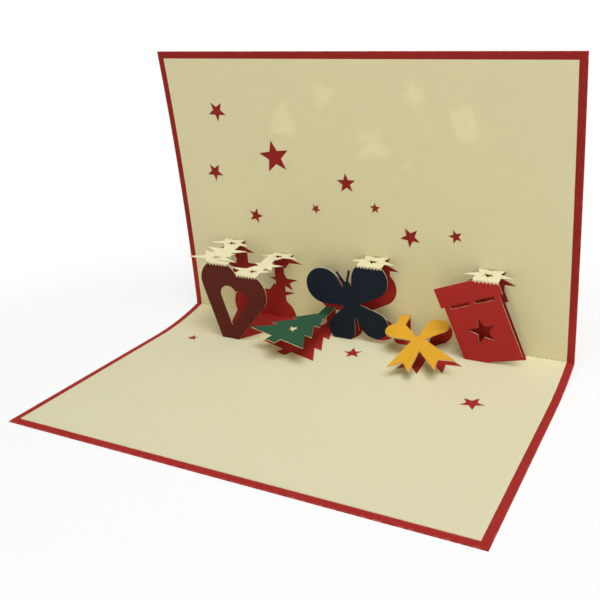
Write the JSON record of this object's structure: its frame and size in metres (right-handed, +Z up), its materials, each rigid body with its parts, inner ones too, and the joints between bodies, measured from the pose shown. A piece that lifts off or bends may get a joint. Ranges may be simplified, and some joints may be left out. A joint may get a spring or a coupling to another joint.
{
  "type": "pop-up greeting card",
  "caption": "Folded greeting card standing open, with paper figures and star-shaped shelves that pop up from its fold and star cut-outs in the inner sheet.",
  "frame": {"origin": "middle of the lower leaf's underside, on the surface that the card stands on", "axes": "+X along the fold, to the right as seen from the open side; -Y from the fold to the free edge of the lower leaf; +Z up, the way the upper leaf stands"},
  "size_m": [0.17, 0.115, 0.1185],
  "materials": {
    "cover_red": "matte coloured card",
    "sheet_cream": "matte cream card",
    "heart_maroon": "matte coloured paper",
    "tree_green": "matte coloured paper",
    "butterfly_navy": "matte coloured paper",
    "bow_yellow": "matte coloured paper",
    "gift_red": "matte coloured paper"
  },
  "bodies": {
    "root": {"cover": "cover_red", "inner_sheet": "sheet_cream", "heart_face": "heart_maroon", "tree_face": "tree_green", "butterfly_face": "butterfly_navy", "bow_face": "bow_yellow", "gift_face": "gift_red"}
  },
  "joints": []
}
